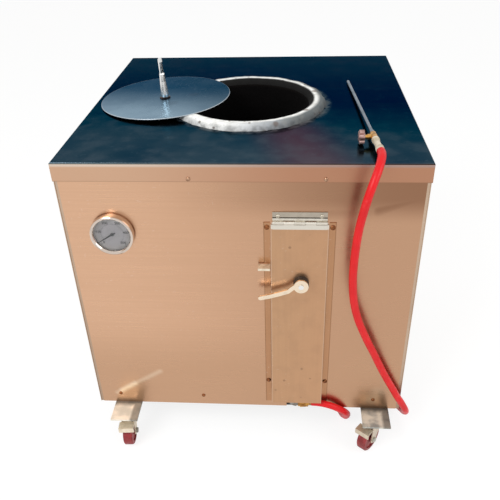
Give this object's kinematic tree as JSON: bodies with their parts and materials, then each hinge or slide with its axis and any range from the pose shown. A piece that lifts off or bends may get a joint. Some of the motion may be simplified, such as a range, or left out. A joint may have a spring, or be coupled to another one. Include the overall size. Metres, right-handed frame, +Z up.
{
  "type": "gas tandoor",
  "caption": "Square gas tandoor on casters: clay pot in a polished sheet case, round mouth with a lift-off lid, flap door with a turn latch, dial thermometer and a lighting wand on a red hose.",
  "frame": {"origin": "on the floor, under the middle of the case, where the four wheels stand at Z = 0", "axes": "+Z up, +X to the right and -Y to the front as one faces the door and the thermometer"},
  "size_m": [0.8461, 0.964, 0.9363],
  "materials": {
    "case_steel": "polished sheet",
    "side_steel": "polished sheet",
    "top_steel": "polished sheet",
    "frame_steel": "painted angle iron",
    "door_steel": "polished sheet",
    "strip_steel": "satin",
    "hinge_steel": "satin",
    "inner_steel": "plain sheet, sooted",
    "latch_metal": "cast and polished",
    "black_plastic": "moulded",
    "clay": "fired clay, bare",
    "ring_cement": "rough, speckled",
    "wool": "loose mineral wool",
    "burner_iron": "cast, sooted",
    "pipe_steel": "galvanised",
    "brass": "machined",
    "red_grip": "dipped",
    "gauge_steel": "polished",
    "dial_face": "matt print",
    "glass": "clear",
    "needle_black": "matt",
    "lid_steel": "polished sheet",
    "handle_steel": "polished",
    "rose_metal": "satin",
    "wand_steel": "satin tube",
    "sleeve_cream": "smooth",
    "hose_red": "smooth",
    "zinc": "zinc plated, dull",
    "fork_steel": "zinc plated, yellowed",
    "wheel_red": "moulded",
    "screw_steel": "plain"
  },
  "bodies": {
    "root": {"base_frame": "frame_steel", "corner_posts": "frame_steel", "floor_plate": "inner_steel", "front_panel": "case_steel", "left_panel": "side_steel", "right_panel": "side_steel", "rear_panel": "side_steel", "top_cover": "top_steel", "clay_pot": "clay", "mouth_ring": "ring_cement", "insulation": "wool", "door_box": "inner_steel", "throat_duct": "inner_steel", "burner": "burner_iron", "burner_pipe": "pipe_steel", "burner_valve": "brass", "gas_pipe": "pipe_steel", "hose_elbow": "brass", "gauge_case": "gauge_steel", "gauge_bezel": "gauge_steel", "gauge_dial": "dial_face", "gauge_glass": "glass", "gauge_stem": "gauge_steel", "side_strips": "strip_steel", "hinge_leaf": "hinge_steel", "hinge_pin": "hinge_steel", "latch_keeper": "strip_steel", "wand_tube": "wand_steel", "wand_valve": "brass", "wand_sleeve": "sleeve_cream", "gas_hose": "hose_red", "foot_plates": "zinc", "caster_plates": "zinc", "caster_bolts": "zinc", "panel_screws": "screw_steel"},
    "door": {"door_panel": "door_steel", "latch_collar": "black_plastic"},
    "latch": {"latch_spindle": "latch_metal", "latch_lever": "latch_metal"},
    "lid": {"lid_plate": "lid_steel", "lid_collar": "rose_metal", "lid_handle": "handle_steel"},
    "needle": {"gauge_needle": "needle_black"},
    "knob": {"wand_knob": "rose_metal"},
    "lever": {"valve_lever": "red_grip"},
    "swivel_front_left": {"fork_front_left": "fork_steel", "axle_front_left": "zinc"},
    "wheel_front_left": {"wheel_front_left": "wheel_red"},
    "swivel_front_right": {"fork_front_right": "fork_steel", "axle_front_right": "zinc"},
    "wheel_front_right": {"wheel_front_right": "wheel_red"},
    "swivel_rear_left": {"fork_rear_left": "fork_steel", "axle_rear_left": "zinc"},
    "wheel_rear_left": {"wheel_rear_left": "wheel_red"},
    "swivel_rear_right": {"fork_rear_right": "fork_steel", "axle_rear_right": "zinc"},
    "wheel_rear_right": {"wheel_rear_right": "wheel_red"},
    "pedal_front_left": {"pedal_front_left": "fork_steel"},
    "pedal_front_right": {"pedal_front_right": "fork_steel"}
  },
  "joints": [
    {"name": "door_hinge", "type": "hinge", "parent": "root", "child": "door", "pos_m": [0.1315, -0.4086, 0.68], "axis": [-1, 0, 0], "range_deg": [0, 160]},
    {"name": "latch_turn", "type": "hinge", "parent": "door", "child": "latch", "pos_m": [0.137, -0.43033, 0.52485], "axis": [0, 0.9989, -0.0471], "range_deg": [-60, 40]},
    {"name": "lid_lift", "type": "slide", "parent": "root", "child": "lid", "axis": [0, 0, 1], "range_m": [0, 0.25]},
    {"name": "needle_turn", "type": "hinge", "parent": "root", "child": "needle", "pos_m": [-0.291, -0.414, 0.649], "axis": [0, 1, 0], "range_deg": [-12, 258]},
    {"name": "knob_turn", "type": "hinge", "parent": "root", "child": "knob", "pos_m": [0.26405, -0.30357, 0.8383], "axis": [-0.9983, -0.0583, 0], "range_deg": [0, 540]},
    {"name": "valve_turn", "type": "hinge", "parent": "root", "child": "lever", "pos_m": [0.118, -0.378, 0.236], "axis": [0, 1, 0], "range_deg": [0, 90]},
    {"name": "swivel_turn_front_left", "type": "hinge", "parent": "root", "child": "swivel_front_left", "pos_m": [-0.326, -0.42, 0.0905], "axis": [0, 0, 1], "continuous": true},
    {"name": "wheel_roll_front_left", "type": "hinge", "parent": "swivel_front_left", "child": "wheel_front_left", "pos_m": [-0.32433, -0.44394, 0.0375], "axis": [0.9976, 0.0698, 0], "continuous": true},
    {"name": "pedal_press_front_left", "type": "hinge", "parent": "swivel_front_left", "child": "pedal_front_left", "pos_m": [-0.32426, -0.44494, 0.0826], "axis": [0.9976, 0.0698, 0], "range_deg": [0, 10]},
    {"name": "swivel_turn_front_right", "type": "hinge", "parent": "root", "child": "swivel_front_right", "pos_m": [0.34, -0.42, 0.0905], "axis": [0, 0, 1], "continuous": true},
    {"name": "wheel_roll_front_right", "type": "hinge", "parent": "swivel_front_right", "child": "wheel_front_right", "pos_m": [0.32522, -0.43891, 0.0375], "axis": [0.788, -0.6157, 0], "continuous": true},
    {"name": "pedal_press_front_right", "type": "hinge", "parent": "swivel_front_right", "child": "pedal_front_right", "pos_m": [0.32461, -0.4397, 0.0826], "axis": [0.788, -0.6157, 0], "range_deg": [0, 10]},
    {"name": "swivel_turn_rear_left", "type": "hinge", "parent": "root", "child": "swivel_rear_left", "pos_m": [-0.326, 0.42, 0.0905], "axis": [0, 0, 1], "continuous": true},
    {"name": "wheel_roll_rear_left", "type": "hinge", "parent": "swivel_rear_left", "child": "wheel_rear_left", "pos_m": [-0.31779, 0.44255, 0.0375], "axis": [-0.9397, 0.342, 0], "continuous": true},
    {"name": "swivel_turn_rear_right", "type": "hinge", "parent": "root", "child": "swivel_rear_right", "pos_m": [0.34, 0.42, 0.0905], "axis": [0, 0, 1], "continuous": true},
    {"name": "wheel_roll_rear_right", "type": "hinge", "parent": "swivel_rear_right", "child": "wheel_rear_right", "pos_m": [0.33379, 0.44318, 0.0375], "axis": [-0.9659, -0.2588, 0], "continuous": true}
  ]
}
